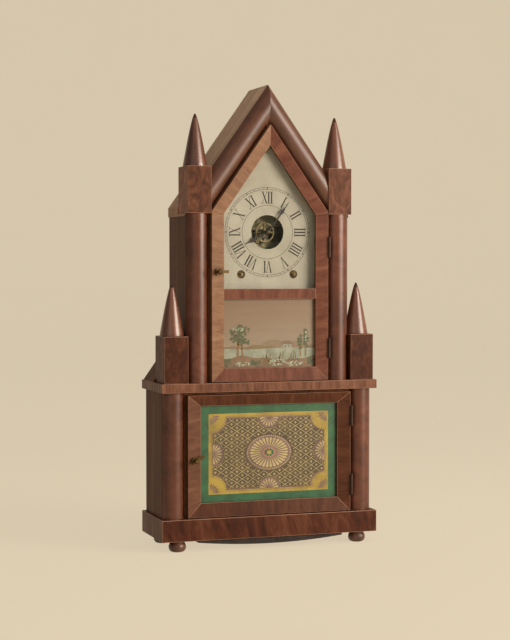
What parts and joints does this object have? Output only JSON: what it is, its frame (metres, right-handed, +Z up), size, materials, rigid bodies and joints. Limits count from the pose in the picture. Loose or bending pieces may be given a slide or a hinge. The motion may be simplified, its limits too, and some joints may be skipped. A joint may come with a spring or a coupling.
{
  "type": "steeple clock",
  "caption": "Two-deck pointed shelf clock with four spires, glazed upper door, painted lower door, open-centred dial and spring-driven striking movement.",
  "frame": {"origin": "on the floor under the middle of the whole clock", "axes": "+X to the right of someone facing the dial, +Y to the back, +Z up"},
  "size_m": [0.3396, 0.123, 0.692],
  "materials": {
    "mahogany": "veneered, french polished",
    "column_mahogany": "turned, french polished",
    "crotch_veneer": "figured veneer, french polished",
    "spire_mahogany": "turned, french polished",
    "door_veneer": "cross-banded veneer, waxed",
    "dark_foot": "ebonised",
    "pine": "sawn softwood",
    "brass": "satin",
    "wheel_brass": "satin",
    "steel": "plain",
    "hand_steel": "black",
    "iron": "rough",
    "spring_steel": "dark",
    "dial_paint": "cream paint on zinc",
    "clear_glass": "clear",
    "painted_glass": "painted on the back",
    "cord": "braided"
  },
  "bodies": {
    "case": {"bun_feet": "dark_foot", "plinth_boards": "mahogany", "base_board": "pine", "lower_sides": "mahogany", "lower_stiles": "mahogany", "lower_columns": "column_mahogany", "ledge_board": "mahogany", "lower_blocks": "crotch_veneer", "lower_spires": "spire_mahogany", "wing_roofs": "mahogany", "upper_sides": "mahogany", "upper_front_frame": "mahogany", "upper_columns": "column_mahogany", "upper_blocks": "crotch_veneer", "upper_spires": "spire_mahogany", "roof_boards": "mahogany", "back_boards": "pine", "gable_mouldings": "column_mahogany", "case_hinge_leaves": "brass", "hinge_pins": "steel", "dial_plate": "dial_paint", "dial_rails": "pine", "movement_plates": "brass", "movement_pillars": "steel", "suspension_cock": "steel", "strike_gong": "steel", "spring_leaves": "spring_steel", "spring_clamp": "iron", "spring_bow": "spring_steel", "lever_brackets": "iron", "drive_cords": "cord"},
    "upper_door": {"upper_door_frame": "door_veneer", "dial_glass": "clear_glass", "picture_tablet": "painted_glass", "upper_door_leaves": "brass"},
    "lower_door": {"lower_door_frame": "door_veneer", "lower_tablet": "painted_glass", "lower_door_leaves": "brass"},
    "upper_latch": {"upper_latch": "brass"},
    "lower_latch": {"lower_latch": "brass"},
    "minute_work": {"minute_hand": "hand_steel", "centre_arbor": "wheel_brass"},
    "hour_work": {"hour_hand": "hand_steel", "hour_wheel": "wheel_brass"},
    "minute_wheel": {"minute_wheel": "wheel_brass"},
    "second_wheel": {"second_wheel": "wheel_brass"},
    "third_wheel": {"third_wheel": "wheel_brass"},
    "escape_wheel": {"escape_wheel": "wheel_brass"},
    "time_great_wheel": {"time_great_wheel": "wheel_brass"},
    "time_drum": {"time_drum": "steel"},
    "strike_great_wheel": {"strike_great_wheel": "wheel_brass"},
    "strike_drum": {"strike_drum": "steel"},
    "strike_pin_wheel": {"strike_pin_wheel": "wheel_brass"},
    "strike_fly": {"strike_fly": "wheel_brass"},
    "verge": {"verge": "steel"},
    "pendulum": {"pendulum_rod": "steel", "pendulum_bob": "brass"},
    "hammer": {"hammer": "steel"},
    "time_lever": {"time_lever": "iron"},
    "strike_lever": {"strike_lever": "iron"}
  },
  "joints": [
    {"name": "upper_door_swing", "type": "hinge", "parent": "case", "child": "upper_door", "pos_m": [0.0932, -0.0504, 0.376], "axis": [0, 0, 1], "range_deg": [0, 115]},
    {"name": "lower_door_swing", "type": "hinge", "parent": "case", "child": "lower_door", "pos_m": [0.1299, -0.0504, 0.14], "axis": [0, 0, 1], "range_deg": [0, 115]},
    {"name": "upper_latch_turn", "type": "hinge", "parent": "upper_door", "child": "upper_latch", "pos_m": [-0.08225, -0.0535, 0.413], "axis": [0, 1, 0], "range_deg": [0, 90]},
    {"name": "lower_latch_turn", "type": "hinge", "parent": "lower_door", "child": "lower_latch", "pos_m": [-0.11845, -0.0535, 0.1347], "axis": [0, 1, 0], "range_deg": [0, 115]},
    {"name": "minute_turn", "type": "hinge", "parent": "case", "child": "minute_work", "pos_m": [0, 0.0065, 0.472], "axis": [0, 1, 0], "continuous": true},
    {"name": "hour_turn", "type": "hinge", "parent": "case", "child": "hour_work", "pos_m": [0, 0.0065, 0.472], "axis": [0, 1, 0], "continuous": true},
    {"name": "minute_wheel_turn", "type": "hinge", "parent": "case", "child": "minute_wheel", "pos_m": [-0.01358, 0.0065, 0.45842], "axis": [0, 1, 0], "continuous": true},
    {"name": "second_wheel_turn", "type": "hinge", "parent": "case", "child": "second_wheel", "pos_m": [0.03187, 0.0065, 0.44782], "axis": [0, 1, 0], "continuous": true},
    {"name": "third_wheel_turn", "type": "hinge", "parent": "case", "child": "third_wheel", "pos_m": [0.02135, 0.0065, 0.49103], "axis": [0, 1, 0], "continuous": true},
    {"name": "escape_wheel_turn", "type": "hinge", "parent": "case", "child": "escape_wheel", "pos_m": [0, 0.0065, 0.502], "axis": [0, 1, 0], "continuous": true},
    {"name": "time_great_wheel_turn", "type": "hinge", "parent": "case", "child": "time_great_wheel", "pos_m": [0.0415, 0.0065, 0.409], "axis": [0, 1, 0], "continuous": true},
    {"name": "time_winding", "type": "hinge", "parent": "case", "child": "time_drum", "pos_m": [0.0415, 0.0065, 0.409], "axis": [0, 1, 0], "range_deg": [-1080, 0], "deforming": ["drive_cords", "spring_leaves"]},
    {"name": "strike_great_wheel_turn", "type": "hinge", "parent": "case", "child": "strike_great_wheel", "pos_m": [-0.0415, 0.0065, 0.409], "axis": [0, 1, 0], "continuous": true},
    {"name": "strike_winding", "type": "hinge", "parent": "case", "child": "strike_drum", "pos_m": [-0.0415, 0.0065, 0.409], "axis": [0, 1, 0], "range_deg": [-1080, 0], "deforming": ["drive_cords", "spring_leaves"]},
    {"name": "strike_pin_wheel_turn", "type": "hinge", "parent": "case", "child": "strike_pin_wheel", "pos_m": [-0.03187, 0.0065, 0.44782], "axis": [0, 1, 0], "continuous": true},
    {"name": "strike_fly_turn", "type": "hinge", "parent": "case", "child": "strike_fly", "pos_m": [-0.04555, 0.0065, 0.48541], "axis": [0, 1, 0], "continuous": true},
    {"name": "pendulum_swing", "type": "hinge", "parent": "case", "child": "pendulum", "pos_m": [0, 0.037, 0.518], "axis": [0, 1, 0], "range_deg": [-5, 5]},
    {"name": "verge_rock", "type": "hinge", "parent": "case", "child": "verge", "pos_m": [0, 0.0065, 0.518], "axis": [0, 1, 0], "range_deg": [-5, 5]},
    {"name": "hammer_lift", "type": "hinge", "parent": "case", "child": "hammer", "pos_m": [-0.06, 0.0065, 0.376], "axis": [0, -1, 0], "range_deg": [0, 12]},
    {"name": "time_lever_turn", "type": "hinge", "parent": "case", "child": "time_lever", "pos_m": [0.122, 0.017, 0.0996], "axis": [0, 1, 0], "range_deg": [-12, 0]},
    {"name": "strike_lever_turn", "type": "hinge", "parent": "case", "child": "strike_lever", "pos_m": [-0.122, 0.017, 0.0996], "axis": [0, -1, 0], "range_deg": [-12, 0]}
  ],
  "couplings": [
    {"joint": "hour_turn", "follows": "minute_turn", "ratio": 0.083333},
    {"joint": "minute_wheel_turn", "follows": "minute_turn", "ratio": -0.33333},
    {"joint": "second_wheel_turn", "follows": "minute_turn", "ratio": -0.14286},
    {"joint": "time_great_wheel_turn", "follows": "minute_turn", "ratio": 0.020408},
    {"joint": "third_wheel_turn", "follows": "minute_turn", "ratio": -10},
    {"joint": "escape_wheel_turn", "follows": "minute_turn", "ratio": 90},
    {"joint": "strike_pin_wheel_turn", "follows": "strike_great_wheel_turn", "ratio": -7},
    {"joint": "strike_fly_turn", "follows": "strike_great_wheel_turn", "ratio": 49},
    {"joint": "verge_rock", "follows": "pendulum_swing", "ratio": 1},
    {"joint": "time_lever_turn", "follows": "time_winding", "ratio": 0.011111},
    {"joint": "strike_lever_turn", "follows": "strike_winding", "ratio": 0.011111}
  ]
}
